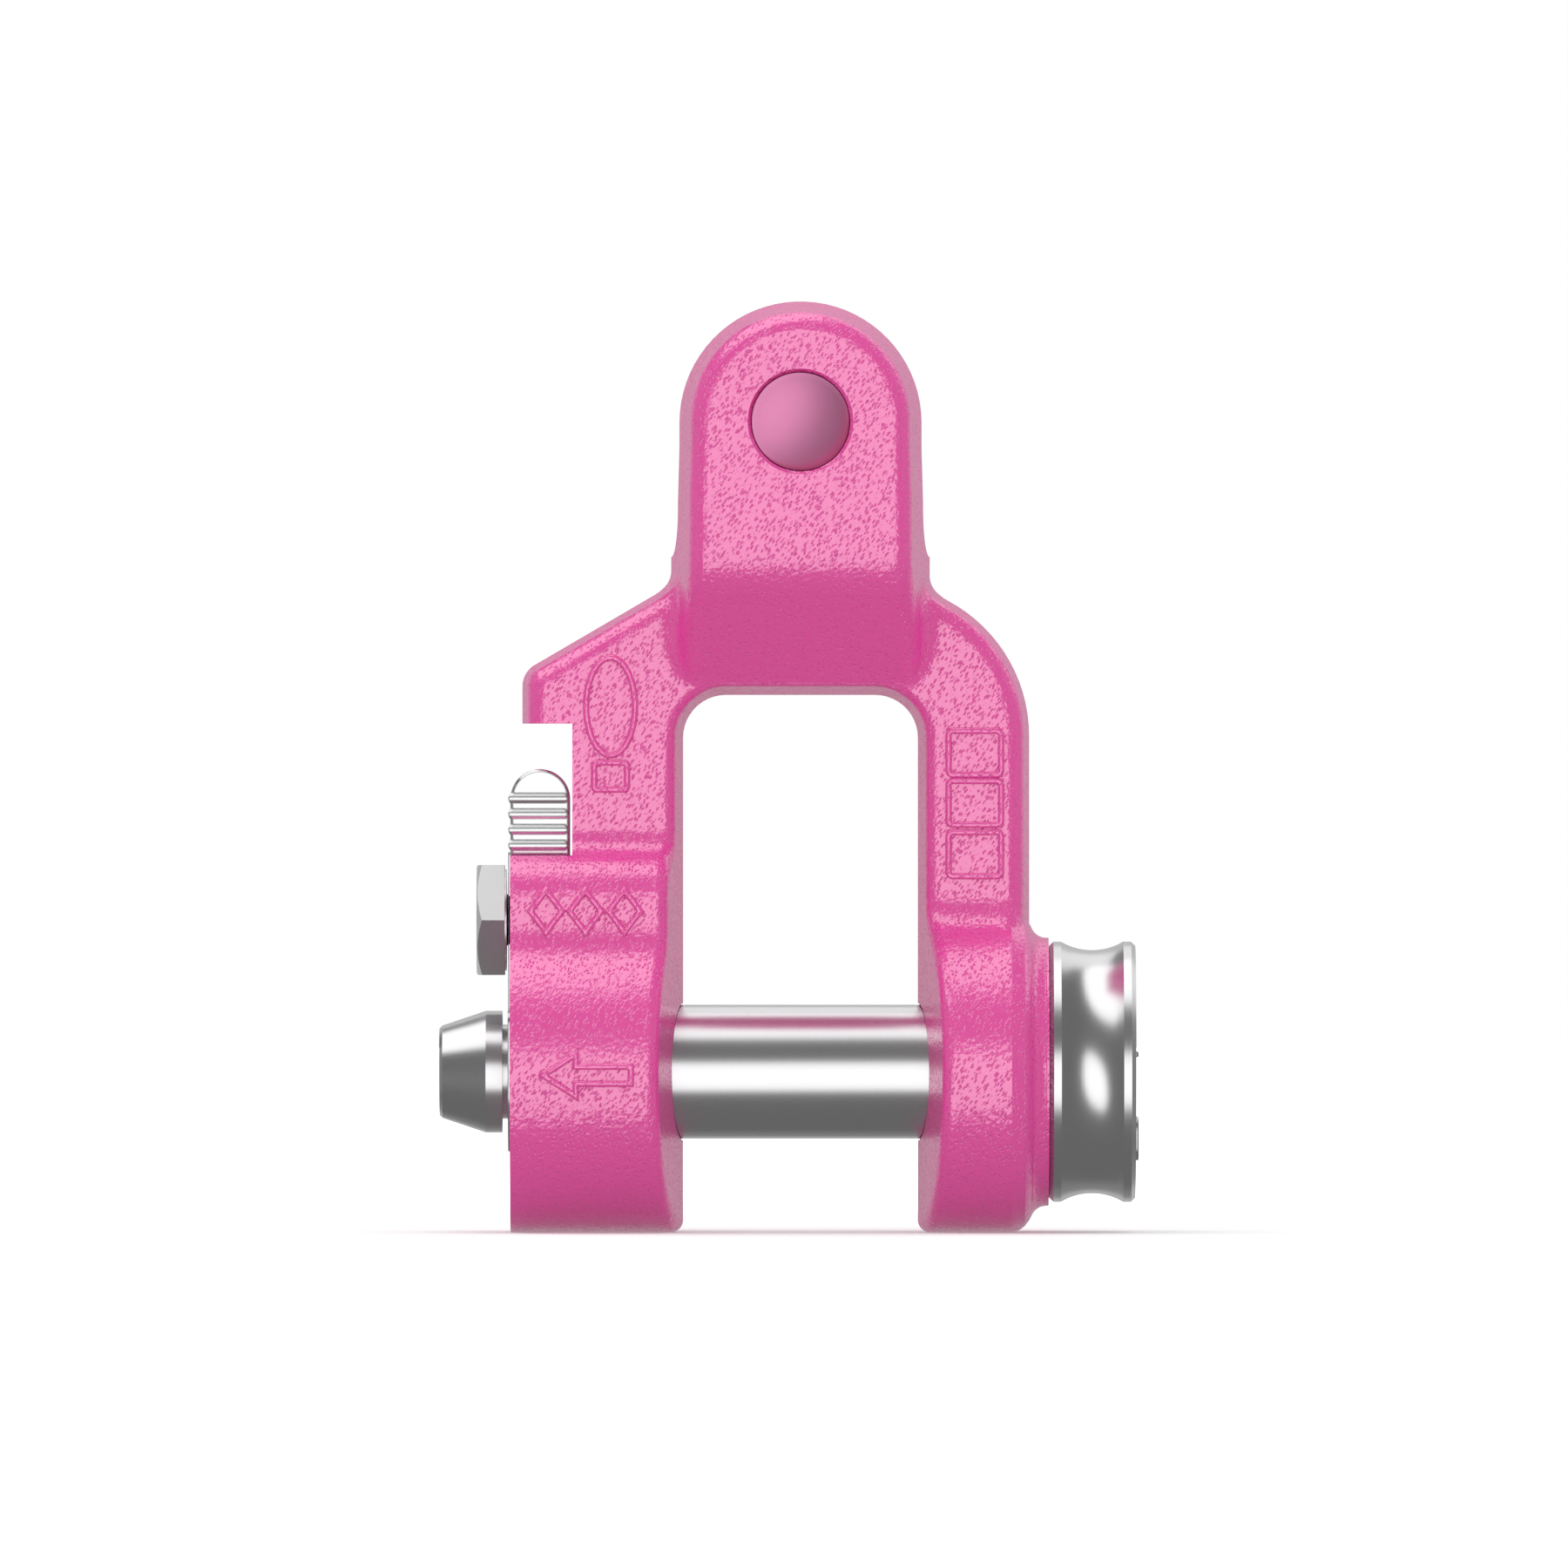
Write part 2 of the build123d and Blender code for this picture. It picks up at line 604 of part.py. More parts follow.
def strip_slot():
    """Long slot that rides on the core of the bush, with a pocket for the spring below."""
    wide = (-PLATE_OUTER_X - SPARE, -PLATE_INNER_X + SPARE)
    slot_d = CORE_D + 2 * CORE_FIT
    low = GUIDE_Z - SLIDE_TRAVEL - CORE_FIT
    slot = rod(*wide, slot_d, z=GUIDE_Z) + rod(*wide, slot_d, z=low)
    slot += block(wide, (-slot_d / 2, slot_d / 2), (low, GUIDE_Z))
    half = SPRING_POCKET / 2
    return slot + block(wide, (-half, half), (spring_ends()[0], GUIDE_Z))


def guide_bush():
    """Bush with a channel for the strip and a core that passes through the strip's slot."""
    back = FACE_X + PLATE_PROUD - BUSH_BACK
    half_strip = STRIP_WIDTH / 2 + SLIDE_FIT
    bush = rod(-back, -BUSH_FLOOR_X, BUSH_D, z=GUIDE_Z)
    bush -= block((-back - 1, -RECESS_X), (-half_strip, half_strip), (GUIDE_Z - BUSH_D, GUIDE_Z + BUSH_D))
    bush += rod(-CORE_END_X, -RECESS_X, CORE_D, z=GUIDE_Z)
    return bush - rod(-CORE_END_X - 1, -BUSH_FLOOR_X + 1, SCREW_D + 2 * SCREW_FIT, z=GUIDE_Z)


def guide_screw():
    """Hexagon head screw with a washer face; one corner of the head points forward."""
    head_start = CORE_END_X + WASHER_FACE
    head_end = head_start + SCREW_HEAD
    outline = RegularPolygon(SCREW_HEAD_AF / 2, 6, major_radius=False)
    head = Pos(-head_end, 0, GUIDE_Z) * extrude(Plane.YZ * outline, amount=SCREW_HEAD)
    corner_r = SCREW_HEAD_AF / sqrt(3)
    head &= turned(GUIDE_Z, [
        (-head_end, 0),
        (-head_end, SCREW_HEAD_FACE_D / 2),
        (-head_end + SCREW_HEAD_CHAMFER, corner_r),
        (-head_start, corner_r),
        (-head_start, 0),
    ])
    washer = rod(-head_start, -CORE_END_X, WASHER_FACE_D, z=GUIDE_Z)
    return head + washer + rod(-CORE_END_X, -BUSH_FLOOR_X + SCREW_DEPTH, SCREW_D, z=GUIDE_Z)


def spring_ends():
    """Lower and upper end of the spring: the floor of its pocket and the core of the bush."""
    top = GUIDE_Z - CORE_D / 2
    return top - SPRING_REST, top


def return_spring():
    """Compression spring of square wire between the core of the bush and the slide's pocket."""
    low, top = spring_ends()
    radius = (SPRING_D - SPRING_WIRE) / 2
    height = top - low - SPRING_WIRE
    path = Helix(pitch=height / SPRING_TURNS, height=height, radius=radius)
    section = Plane(origin=path @ 0, z_dir=path % 0) * Rectangle(SPRING_WIRE, SPRING_WIRE)
    spring = sweep(section, path=path, is_frenet=True)
    return Pos(-(PLATE_OUTER_X + PLATE_INNER_X) / 2, 0, low + SPRING_WIRE / 2) * spring


NODES = {
    "bow": bow,
    "chain_pin": chain_pin,
    "pin_sleeve": pin_sleeve,
    "shackle_bolt": shackle_bolt,
    "lock_slide": lock_slide,
    "guide_bush": guide_bush,
    "guide_screw": guide_screw,
    "return_spring": return_spring,
}

os.makedirs("parts", exist_ok=True)
for name, make in NODES.items():
    solid = make().solid()
    solid.label = name
    export_step(solid, f"parts/{name}.step")
    print(name, "volume", round(solid.volume, 1))
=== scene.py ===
from math import atan2, cos, pi, radians, sin, sqrt

import bmesh
import bpy
import numpy as np
from bpy.props import FloatProperty, FloatVectorProperty, IntProperty, PointerProperty
from bpy.types import Operator, Panel, PropertyGroup
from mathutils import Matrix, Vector


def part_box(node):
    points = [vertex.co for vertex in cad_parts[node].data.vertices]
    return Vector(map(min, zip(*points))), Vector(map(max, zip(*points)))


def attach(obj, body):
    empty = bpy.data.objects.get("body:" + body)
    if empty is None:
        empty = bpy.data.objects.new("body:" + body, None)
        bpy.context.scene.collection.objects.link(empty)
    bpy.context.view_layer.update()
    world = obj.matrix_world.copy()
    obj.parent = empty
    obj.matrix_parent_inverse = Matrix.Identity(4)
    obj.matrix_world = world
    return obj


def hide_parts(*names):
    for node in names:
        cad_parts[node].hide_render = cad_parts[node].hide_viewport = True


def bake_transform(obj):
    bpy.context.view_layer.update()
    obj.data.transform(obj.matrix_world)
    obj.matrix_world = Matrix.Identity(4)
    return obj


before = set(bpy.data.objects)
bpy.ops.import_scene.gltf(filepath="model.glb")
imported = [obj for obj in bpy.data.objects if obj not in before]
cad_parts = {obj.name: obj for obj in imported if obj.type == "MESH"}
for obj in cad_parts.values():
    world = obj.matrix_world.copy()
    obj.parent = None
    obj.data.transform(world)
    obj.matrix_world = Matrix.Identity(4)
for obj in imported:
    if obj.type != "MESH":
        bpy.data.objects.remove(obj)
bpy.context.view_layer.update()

bl_info = {
    "name": "Clevis Shackle",
    "version": (1, 0, 0),
    "blender": (4, 5, 0),
    "location": "3D View > Sidebar > Shackle",
    "description": "Finishes, marks, pin, spring and studio of a clevis shackle",
    "category": "Object",
}

# Metres in a millimetre
MM = 0.001

# Front of the forging, in millimetres: heights, depths in front of the middle plane, and roundings
BOLT_Z = -106.4
EYE_R = 26.3
ARM_DEPTH = 9.2
BLOCK_DEPTH = 16.8
BLOCK_TOP_Z = -66.5
BLOCK_BLEND = 4.7
BLOCK_SHOULDER_R = 8.0
LEFT_EYE_BLEND = 10.0
FLOOR_Z = BOLT_Z - EYE_R

# Right side of the eye, in millimetres: its wall, the boss that stands on it, and their roundings
EYE_WALL_X = 37.5
EYE_EDGE_R = 3.0
BOSS_END_X = 40.67
BOSS_R = 22.0
BOSS_SWELL_R = 6.3
BOSS_ROOT_R = 2.6
# How far the swell stands proud of the rolled edge, and how deep the back of the root lies: short of the
# boss's end, in the boss, in the wall and in the rolled edge
SWELL_PROUD = 0.02
BOSS_END_GAP = 0.1
BOSS_SUNK = 0.6
WALL_SUNK = 1.5
EDGE_SUNK = 1.2

# Marks on the front, in millimetres: X and Z of outlines and how far apart their points are at most, and
# X, Z, width, height and corner radius of boxes
ARROW = np.array([
    (-42.0, -106.76), (-36.7, -110.2), (-36.7, -108.15), (-27.7, -108.15),
    (-27.7, -105.35), (-36.7, -105.35), (-36.7, -103.3),
])
ARROW_STEP = 0.5
LOZENGE = np.array([(2.6, 0), (0, 3.4), (-2.6, 0), (0, -3.4)])
LOZENGE_STEP = 0.3
LOZENGE_X = (-41.6, -35.2, -28.8)
LOZENGE_Z = -80.0
PANEL_X = 28.55
PANEL_Z = (-54.1, -62.3, -70.7)
PANEL_SIZE = (8.6, 7.2, 0.7)
OVAL = (-31.1, -46.5, 4.0, 8.0)
TAG = (-31.1, -57.9, 5.4, 4.4, 0.5)

# Cross-section of a raised stroke: places across it in half widths, over the top and back underneath,
# which of them are its foot, how far the foot is sunk in shares of the relief, and the least cosine that
# a corner is mitred by
STROKE_ACROSS = np.array([-1, -0.86, -0.55, 0, 0.55, 0.86, 1, 0.5, -0.5])
STROKE_FOOT = [0, 6, 7, 8]
STROKE_SUNK = 0.8
MITRE_LEAST = 0.35

# Blank raised pads on the knob's end: height of the middle, width along Y and height, in millimetres
KNOB_END = 54.9
PAD_RELIEF = 0.55
KNOB_PADS = {"upper_knob_pad": (-103.5, 14.0, 0.9), "lower_knob_pad": (-117.3, 11.0, 7.2)}

# Chain pin, in millimetres: the radius of its rims, the groove of the sleeve, and the land that guides
# the pin in the rear ear and shuts out the light beside it. Places are along Y from the middle. A rim
# leaves the dome at its start, in degrees.
PIN_RIM_R = 0.12
PIN_RIM_START = 12
GROOVE_R = 6.38
GROOVE_Y = (13.88, 18.12)
LAND_R = 8.13
LAND_Y = (9.6, 12.9)
LAND_RAMP = 0.1
# How deep the leaning reaches into the pin's ends, over what length it sets in, and its shares of X and Z
PIN_LEAN_DEPTH = 2.0
PIN_LEAN_EASE = 1.0
PIN_LEAN_WAY = (1.0, -1.4)

# Skin of the forging. In pit spacings: how far the rows of pits are bent, the size of a pit along X, Y
# and Z, and the least and the greatest width of a pit. To one pit spacing: the waves of the noise that
# bends the rows, and those of the coat's own unevenness. That is as high as a share of the pits' depth,
# and the pits lean by an angle in degrees.
BEND_WAVES = 0.8
BEND_REACH = 0.45
PIT_SHAPE = (0.62, 1.0, 1.9)
PIT_LEAN = 35
PIT_WIDTH = (0.32, 0.58)
PEEL_WAVES = 0.7
PEEL_HEIGHT = 1.1
# Coats have an index near 1.5. The higher one gives this coat the strength of its reflections.
COAT_IOR = 2.46

# Softboxes that light the shackle: the point that each one faces, how high it stands over it in degrees,
# and its distance and size in metres
SOFTBOXES = {
    "front": ((0, 0, -0.06), -1, 1.5, (1.05, 0.92)),
    "top": ((-0.2, 0, -0.06), 88, 1.2, (0.95, 0.85)),
}

# What the shackle mirrors stands round this point, in metres, and its places are sides and turns in
# degrees. Panels: side, turn, half size and lean. Cloths: sides, turns, radius in metres, and their grey.
MIRRORED_POINT = (0, 0, -0.09)
PANEL_RADIUS = 1.5
MIRRORED_PANELS = {
    "front_panel": (-2, -9.5, (24, 26), 0.45),
    "top_panel": (-16, 86, (31, 37), 0.3),
}
MIRRORED_CLOTHS = {
    "front_cloth": ((-90, 90), (-128, 62), 3.0, "cloth"),
    "low_front_cloth": ((-90, 90), (-150, -128), 3.0, "side"),
    "top_cloth": ((-60, 60), (62, 117), 3.0, "cloth"),
    "top_left_cloth": ((-60, -14), (117, 148), 3.0, "cloth"),
    "left_cloth": ((-90, -62), (-180, 180), 2.8, "side"),
    "right_end_cloth": ((62, 90), (-180, 180), 2.8, "side"),
    "back_cloth": ((-90, 90), (148, 180), 3.0, "back"),
    "low_back_cloth": ((-90, 90), (180, 210), 3.0, "back"),
}

# Floor: half its side in metres, the grey of its paper as the shackle and as the camera see it, and the
# glow that the camera sees on it, which grows between two distances from the middle, in metres
FLOOR_HALF = 4.0
PAPER = (0.5, 0.85)
FLOOR_GLOW = (0.15, 1.1)
FLOOR_GLOW_REACH = (0.2, 0.7)

# Camera: sensor in millimetres, the furthest that it sees, and X and Z of the point it looks at, in metres
SENSOR = 36
FAR = 50
VIEW_X, VIEW_Z = -0.0027, -0.0592


def linear(code):
    """Linear RGB of an sRGB hex colour."""
    rgb = np.array([int(code[i:i + 2], 16) for i in (1, 3, 5)]) / 255
    return tuple(np.where(rgb <= 0.04045, rgb / 12.92, ((rgb + 0.055) / 1.055) ** 2.4))


class ShackleFinish(PropertyGroup):
    """Colours and surface sizes of the finishes."""

    coat: FloatVectorProperty(name="Coat", description="Powder coat of the forging", subtype="COLOR",
                              size=3, min=0, max=1, default=linear("#E4439D"))
    coat_gloss: FloatProperty(name="Coat roughness", description="Roughness of the powder coat",
                              min=0, max=1, default=0.2)
    pit_spacing: FloatProperty(name="Pit spacing", description="Distance between the pits of the skin",
                               unit="LENGTH", min=0.0002, default=0.00058)
    pit_depth: FloatProperty(name="Pit depth", description="Depth of the pits under the coat",
                             unit="LENGTH", min=0, default=0.0001)
    steel: FloatVectorProperty(name="Steel", description="Plated and turned steel", subtype="COLOR",
                               size=3, min=0, max=1, default=linear("#E3E3E4"))
    pin: FloatVectorProperty(name="Chain pin", description="Coated end of the chain pin",
                             subtype="COLOR", size=3, min=0, max=1, default=linear("#DD88B3"))
    # Near-black of the bush. It is partly painted shade: it stands for the deep shade in the narrow gap
    # between the screw's head and the slide.
    plastic: FloatVectorProperty(name="Bush", description="Black bush of the slide", subtype="COLOR",
                                 size=3, min=0, max=1, default=linear("#141314"))


class ShackleSizes(PropertyGroup):
    """Sizes of the pieces that are made here."""

    stroke: FloatProperty(name="Stroke", description="Width of a raised stroke", unit="LENGTH",
                          min=0.0001, default=0.00115)
    relief: FloatProperty(name="Relief", description="Height of a raised stroke", unit="LENGTH",
                          min=0.00005, default=0.0005)
    pin_radius: FloatProperty(name="Pin radius", description="Radius of the chain pin", unit="LENGTH",
                              min=0.001, default=0.008)
    pin_dome: FloatProperty(name="Pin dome", description="Height of the domed end of the chain pin",
                            unit="LENGTH", min=0, default=0.001)
    pin_lean: FloatProperty(name="Pin lean", description="Slope of the ends of the chain pin", min=0,
                            max=0.2, default=0.12)
    wire: FloatProperty(name="Wire", description="Thickness of the spring's wire", unit="LENGTH",
                        min=0.0001, default=0.0004)
    turns: IntProperty(name="Turns", description="Turns of the return spring", min=2, default=6)


class ShackleStudio(PropertyGroup):
    """Strengths and sizes of the studio. A strength of 1 is white."""

    front: FloatProperty(name="Front light", description="Radiance of the front softbox",
                         min=0, default=2.8)
    top: FloatProperty(name="Top light", description="Radiance of the overhead softbox",
                       min=0, default=1.6)
    panel: FloatProperty(name="Panels", description="Radiance of the panels that the shackle mirrors",
                         min=0, default=1.45)
    side: FloatProperty(name="Side cloths", description="Grey of the cloths left and right",
                        min=0, max=1, default=0.25)
    back: FloatProperty(name="Back cloth", description="Grey of the cloth behind the shackle",
                        min=0, max=1, default=0.55)
    ambient: FloatProperty(name="Ambient", description="Even light from all round",
                           min=0, default=0.87)
    bounce: FloatProperty(name="Bounce", description="Light that the floor throws back up",
                          min=0, default=0.28)
    cloth: FloatProperty(name="Cloth", description="Grey of the dark cloth round the front softbox",
                         min=0, max=1, default=0.16)
    field: FloatProperty(name="Field", description="Width of the picture at the shackle",
                         unit="LENGTH", min=0.01, default=0.25714)
    lens: FloatProperty(name="Lens", description="Focal length in millimetres", min=10, default=800)


# Meshes

def grid_mesh(name, points, loop_rows=True, loop_columns=True):
    """Mesh of quads over a rows x columns x 3 array of points, closed along the ways that loop."""
    rows, columns = points.shape[:2]
    i, j = np.meshgrid(np.arange(rows if loop_rows else rows - 1),
                       np.arange(columns if loop_columns else columns - 1), indexing="ij")
    down, right = (i + 1) % rows, (j + 1) % columns
    faces = np.stack([i * columns + j, i * columns + right, down * columns + right, down * columns + j],
                     axis=-1)
    mesh = bpy.data.meshes.new(name)
    mesh.from_pydata(points.reshape(-1, 3).tolist(), [], faces.reshape(-1, 4).tolist())
    return mesh


def add_piece(name, mesh, material, body=None):
    """Smooth object at the origin with one material. With a body, it rides on it."""
    mesh.materials.append(material)
    mesh.polygons.foreach_set("use_smooth", np.full(len(mesh.polygons), True))
    mesh.update()
    piece = bpy.data.objects.new(name, mesh)
    bpy.context.scene.collection.objects.link(piece)
    if body:
        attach(piece, body)
    return piece


def coordinates(mesh):
    """The mesh's vertices as an array of X, Y and Z."""
    co = np.empty(len(mesh.vertices) * 3)
    mesh.vertices.foreach_get("co", co)
    return co.reshape(-1, 3)


def outward(mesh):
    """Faces of a closed mesh turned so that its volume comes out positive."""
    mesh.calc_loop_triangles()
    corners = np.empty(len(mesh.loop_triangles) * 3, int)
    mesh.loop_triangles.foreach_get("vertices", corners)
    a, b, c = coordinates(mesh)[corners.reshape(-1, 3).T]
    if np.einsum("ij,ij->i", a, np.cross(b, c)).sum() < 0:
        mesh.flip_normals()
    return mesh


def weld(mesh):
    """Vertices at one place, such as the poles of a surface of revolution, drawn together."""
    bm = bmesh.new()
    bm.from_mesh(mesh)
    bmesh.ops.remove_doubles(bm, verts=bm.verts, dist=0.0001 * MM)
    bm.to_mesh(mesh)
    bm.free()


def close_ends(mesh, ring):
    """Flat faces over the first and last ring of an open tube."""
    bm = bmesh.new()
    bm.from_mesh(mesh)
    bm.verts.ensure_lookup_table()
    bm.faces.new(list(reversed(bm.verts[:ring])))
    bm.faces.new(bm.verts[-ring:])
    bm.to_mesh(mesh)
    bm.free()


def along(path, spacing):
    """Closed 2-D path with its straight runs divided evenly, corners kept."""
    ends = np.roll(path, -1, axis=0)
    runs = []
    for start, end in zip(path, ends):
        steps = max(1, int(np.ceil(np.linalg.norm(end - start) / spacing)))
        runs.append(start + (end - start) * np.arange(steps)[:, None] / steps)
    return np.concatenate(runs)


def rounded_box(x, z, width, height, corner):
    """Closed path round a rectangle with circular corners.

    Each corner is a quarter circle, whose centre lies its radius inside both sides.
    """
    turn = np.linspace(0, pi / 2, 7)
    centres = [(1, 1), (-1, 1), (-1, -1), (1, -1)]
    runs = [np.stack([x + a * (width / 2 - corner) + corner * np.cos(turn + k * pi / 2),
                      z + b * (height / 2 - corner) + corner * np.sin(turn + k * pi / 2)], 1)
            for k, (a, b) in enumerate(centres)]
    return np.concatenate(runs)


def oval(x, z, half_width, half_height):
    """Closed elliptic path: the half width and height times the cosine and sine of an angle."""
    turn = np.linspace(0, 2 * pi, 72, endpoint=False)
    return np.stack([x + half_width * np.cos(turn), z + half_height * np.sin(turn)], 1)


def left_depth(z):
    """Depth of the left leg's front at a height: arm, hollow, shoulder, block, hollow and eye.

    Arm and block are flat. The eye, the shoulder and the hollows are arcs: the depth is that of the
    arc's centre plus, or in a hollow less, the root of the arc's radius squared less the height above
    the centre squared. The arcs meet where the line through their centres crosses them.
    """
    step = BLOCK_BLEND + BLOCK_SHOULDER_R
    tilt_cos = 1 - (BLOCK_DEPTH - ARM_DEPTH) / step
    tilt_sin = sqrt(1 - tilt_cos ** 2)
    shoulder_z = BLOCK_TOP_Z - step * tilt_sin
    rise = sqrt((EYE_R + LEFT_EYE_BLEND) ** 2 - (BLOCK_DEPTH + LEFT_EYE_BLEND) ** 2)
    blend_z = BOLT_Z + rise
    eye_top = BOLT_Z + rise * EYE_R / (EYE_R + LEFT_EYE_BLEND)

    def arc(radius, centre):
        return np.sqrt(np.maximum(0, radius ** 2 - (z - centre) ** 2))

    hollow = ARM_DEPTH + BLOCK_BLEND - arc(BLOCK_BLEND, BLOCK_TOP_Z)
    shoulder = BLOCK_DEPTH - BLOCK_SHOULDER_R + arc(BLOCK_SHOULDER_R, shoulder_z)
    lower = BLOCK_DEPTH + LEFT_EYE_BLEND - arc(LEFT_EYE_BLEND, blend_z)
    return np.select(
        [z > BLOCK_TOP_Z, z > BLOCK_TOP_Z - BLOCK_BLEND * tilt_sin, z > shoulder_z, z > blend_z,
         z > eye_top],
        [np.full_like(z, ARM_DEPTH), hollow, shoulder, np.full_like(z, BLOCK_DEPTH), lower],
        arc(EYE_R, BOLT_Z))


def arm_depth(z):
    """Depth of the flat front of both arms."""
    return np.full_like(z, ARM_DEPTH)


def raised_stroke(path, depth, width, relief):
    """Points of a stroke that follows a closed path on the front of the forging.

    The cross-section is a rounded ridge: its height is the relief times one less the fourth power of
    the distance from the middle of the stroke, and its foot is sunk below the surface. Each point is
    moved sideways by the mitre of its two runs, and its Y is minus the depth of the forging there less
    the height.
    """
    before = path - np.roll(path, 1, axis=0)
    after = np.roll(path, -1, axis=0) - path
    before /= np.linalg.norm(before, axis=1)[:, None]
    after /= np.linalg.norm(after, axis=1)[:, None]
    bisector = before + after
    bisector /= np.linalg.norm(bisector, axis=1)[:, None]
    side = np.stack([-bisector[:, 1], bisector[:, 0]], 1)
    mitre = 1 / np.maximum(MITRE_LEAST, np.einsum("ij,ij->i", bisector, after))
    height = 1 - STROKE_ACROSS ** 4
    height[STROKE_FOOT] = -STROKE_SUNK
    reach = (STROKE_ACROSS * width / 2)[None, :, None]
    flat = path[:, None] + side[:, None] * reach * mitre[:, None, None]
    y = -(depth(flat[..., 1]) + relief * height[None, :])
    return np.stack([flat[..., 0], y, flat[..., 1]], -1)


def raised_pad(x, z, width, height, relief):
    """Points of a flat pad on a face across X.

    Five rings of one box, its corners rounded by 0.3 of its smaller side, stand at -0.3, -0.3,
    0.7, 1 and 1 times the relief. The first and the last are drawn in to a point, and the fourth is
    smaller by the height that it gains on the third.
    """
    ring = rounded_box(0, 0, width, height, min(width, height) * 0.3)
    rise = np.array([-0.3, -0.3, 0.7, 1.0, 1.0])[:, None]
    shrink = np.array([0.0, 1.0, 1.0, 1 - 0.3 * relief / height, 0.0])[:, None]
    return np.stack([x + relief * rise + 0 * ring[None, :, 0], shrink * ring[None, :, 0],
                     z + shrink * ring[None, :, 1]], -1)


def boss_root_profile():
    """Closed profile in millimetres, X and radius about the bolt, of the hollow root of the boss.

    A swelling arc starts just outside the middle of the eye's rolled edge, along which it runs there. A
    hollow arc touches that arc from outside and touches the boss's cylinder: its centre is at the boss's
    radius plus its own, and as far from the swell's centre as both radii together. The last points are
    sunk in the forging.
    """
    edge = np.array([EYE_WALL_X - EYE_EDGE_R, EYE_R - EYE_EDGE_R])
    swell = edge - (BOSS_SWELL_R - EYE_EDGE_R - SWELL_PROUD) * sqrt(0.5)
    rise = BOSS_R + BOSS_ROOT_R - swell[1]
    run = sqrt((BOSS_SWELL_R + BOSS_ROOT_R) ** 2 - rise ** 2)
    touch = atan2(rise, run)
    over = np.linspace(pi / 4, touch, 12)[:, None]
    roll = swell + BOSS_SWELL_R * np.concatenate([np.cos(over), np.sin(over)], 1)
    turn = np.linspace(touch, pi / 2, 16)[:, None]
    hollow = swell + (run, rise) - BOSS_ROOT_R * np.concatenate([np.cos(turn), np.sin(turn)], 1)
    sunk = np.array([(BOSS_END_X - BOSS_END_GAP, BOSS_R - BOSS_SUNK),
                     (EYE_WALL_X - WALL_SUNK, BOSS_R - BOSS_SUNK), edge + EDGE_SUNK])
    return np.concatenate([roll, hollow, sunk])


def revolved(profile, axis, steps):
    """Points of a surface of revolution about X (axis 0) or Y (axis 1).

    The profile is rows of (place along the axis, radius), and each row is carried round a full circle:
    the radius times the cosine and the sine of the angle are the other two coordinates.
    """
    turn = np.linspace(0, 2 * pi, steps, endpoint=False)
    place, radius = np.asarray(profile).T
    points = np.empty((len(place), steps, 3))
    points[..., axis] = place[:, None]
    points[..., 1 - axis] = radius[:, None] * np.cos(turn)
    points[..., 2] = radius[:, None] * np.sin(turn)
    return points


def chain_pin_profile(half, radius, dome):
    """Profile of the chain pin from its rear pole to its front one: rows of place along Y and radius.

    Each end is part of the sphere through its pole and its rim, whose radius is the pin's radius
    squared plus the dome's height squared, over twice that height. The rim is an arc that turns the
    dome into the barrel. The rows between them step down into the groove and up onto the land.
    """
    edge = PIN_RIM_R * MM
    crown = (radius ** 2 + dome ** 2) / (2 * dome)
    r = np.linspace(0, radius - edge, 12)
    cap = np.stack([half - crown + np.sqrt(crown ** 2 - r ** 2), r], 1)
    turn = np.linspace(radians(PIN_RIM_START), pi / 2, 7)
    rim = np.stack([cap[-1, 0] - edge + edge * np.cos(turn), radius - edge + edge * np.sin(turn)], 1)
    barrel = radius / MM
    steps = np.array([(GROOVE_Y[1], barrel), (GROOVE_Y[1], GROOVE_R), (GROOVE_Y[0], GROOVE_R),
                      (GROOVE_Y[0], barrel), (LAND_Y[1] + LAND_RAMP, barrel), (LAND_Y[1], LAND_R),
                      (LAND_Y[0], LAND_R), (LAND_Y[0] - LAND_RAMP, barrel)]) * MM
    end = np.concatenate([cap, rim])
    return np.concatenate([end, steps, end[::-1] * (-1, 1)])


def lean_ends(mesh, start, slope):
    """Ends of a pin along Y that are pressed a little out of square.

    Beyond the start each Y gains the slope times the lean's shares of X and Z, eased in over a length.
    """
    co = coordinates(mesh)
    eased = np.clip((np.abs(co[:, 1]) - start) / (PIN_LEAN_EASE * MM), 0, 1)
    co[:, 1] += slope * eased * (co[:, 0] * PIN_LEAN_WAY[0] + co[:, 2] * PIN_LEAN_WAY[1])
    mesh.vertices.foreach_set("co", co.ravel())


def helix_tube(start, end, radius, wire, turns, centre):
    """Points of a wire along a helix whose first and last turns lie flat.

    X and Y run round a circle. The height stays still over the flat part of a turn at each end, and
    between them it rises evenly. The wire's circle is carried along, with one way out from the axis
    and one way up.
    """
    flat, per_turn, round_steps = 0.75, 36, 10
    t = np.linspace(0, 1, turns * per_turn + 1)
    rise = np.clip((t * turns - flat) / (turns - 2 * flat), 0, 1)
    height = start + wire / 2 + (end - start - wire) * rise
    turn = 2 * pi * turns * t
    round_wire = np.linspace(0, 2 * pi, round_steps, endpoint=False)
    out = radius + wire / 2 * np.cos(round_wire)
    x = out[None, :] * np.cos(turn)[:, None]
    y = out[None, :] * np.sin(turn)[:, None]
    z = height[:, None] + wire / 2 * np.sin(round_wire)[None, :]
    return np.stack([x + centre[0], y + centre[1], z], -1)


# Materials

